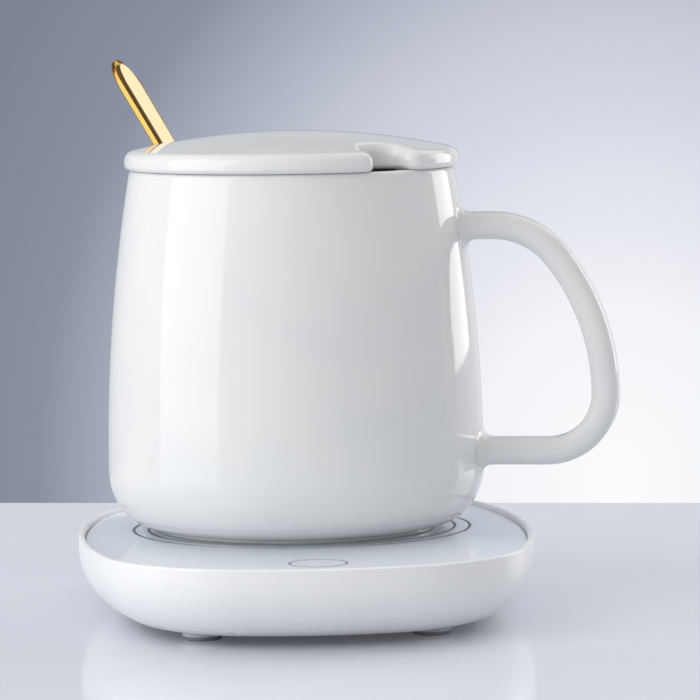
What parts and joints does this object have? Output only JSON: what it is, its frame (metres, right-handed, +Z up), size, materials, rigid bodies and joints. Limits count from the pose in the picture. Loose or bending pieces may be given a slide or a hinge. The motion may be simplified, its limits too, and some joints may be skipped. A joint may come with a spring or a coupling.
{
  "type": "mug with warmer",
  "caption": "White lidded mug with a loop handle and a spoon through its lid's notch, standing on an oval electric mug warmer with a glass hot plate and a touch mark.",
  "frame": {"origin": "middle of the warmer's plan on the table it stands on", "axes": "+Z up, +Y from the touch mark at the front to the power socket at the rear, +X to the right, the side of the mug's handle"},
  "size_m": [0.1373, 0.157, 0.1384],
  "materials": {
    "white_glaze": "gloss",
    "gold_metal": "polished",
    "shell_plastic": "satin",
    "cover_plastic": "matte",
    "pad_rubber": "matte",
    "printed_glass": "gloss",
    "adhesive": "matte",
    "spreader_aluminium": "satin",
    "polyimide_film": "satin",
    "fibre_felt": "matte",
    "tray_steel": "satin",
    "screw_steel": "satin",
    "bead_plastic": "satin",
    "chip_plastic": "matte",
    "circuit_board": "satin",
    "plug_plastic": "satin",
    "copper": "satin",
    "lamp_plastic": "gloss",
    "red_lead": "satin",
    "white_lead": "satin"
  },
  "bodies": {
    "warmer": {"outer_shell": "shell_plastic", "bottom_cover": "cover_plastic", "cover_screws": "screw_steel", "foot_pads": "pad_rubber", "glass_plate": "printed_glass", "glass_gasket": "adhesive", "heat_spreader": "spreader_aluminium", "heating_film": "polyimide_film", "insulation_pad": "fibre_felt", "heater_tray": "tray_steel", "tray_screws": "screw_steel", "temperature_sensor": "bead_plastic", "thermal_cutoff": "bead_plastic", "control_board": "circuit_board", "board_screws": "screw_steel", "microcontroller": "chip_plastic", "power_transistor": "chip_plastic", "capacitors": "spreader_aluminium", "heater_plug": "plug_plastic", "sensor_plug": "plug_plastic", "power_plug": "plug_plastic", "touch_electrode": "copper", "touch_post": "pad_rubber", "key_leds": "lamp_plastic", "light_guide": "lamp_plastic", "inlet_board": "circuit_board", "inlet_screws": "screw_steel", "inlet_plug": "plug_plastic", "usb_shell": "tray_steel", "usb_tongue": "chip_plastic", "heater_leads": "red_lead", "sensor_leads": "white_lead", "power_leads": "red_lead"},
    "mug": {"mug": "white_glaze", "mug_handle": "white_glaze"},
    "lid": {"lid": "white_glaze"},
    "spoon": {"spoon": "gold_metal"}
  },
  "joints": [
    {"name": "mug_lift", "type": "slide", "parent": "warmer", "child": "mug", "axis": [0, 0, 1], "range_m": [0, 0.12]},
    {"name": "lid_lift", "type": "slide", "parent": "mug", "child": "lid", "axis": [0, 0, 1], "range_m": [0, 0.06]},
    {"name": "spoon_draw", "type": "slide", "parent": "mug", "child": "spoon", "axis": [-0.4563, 0.3815, 0.8039], "range_m": [0, 0.045]}
  ]
}
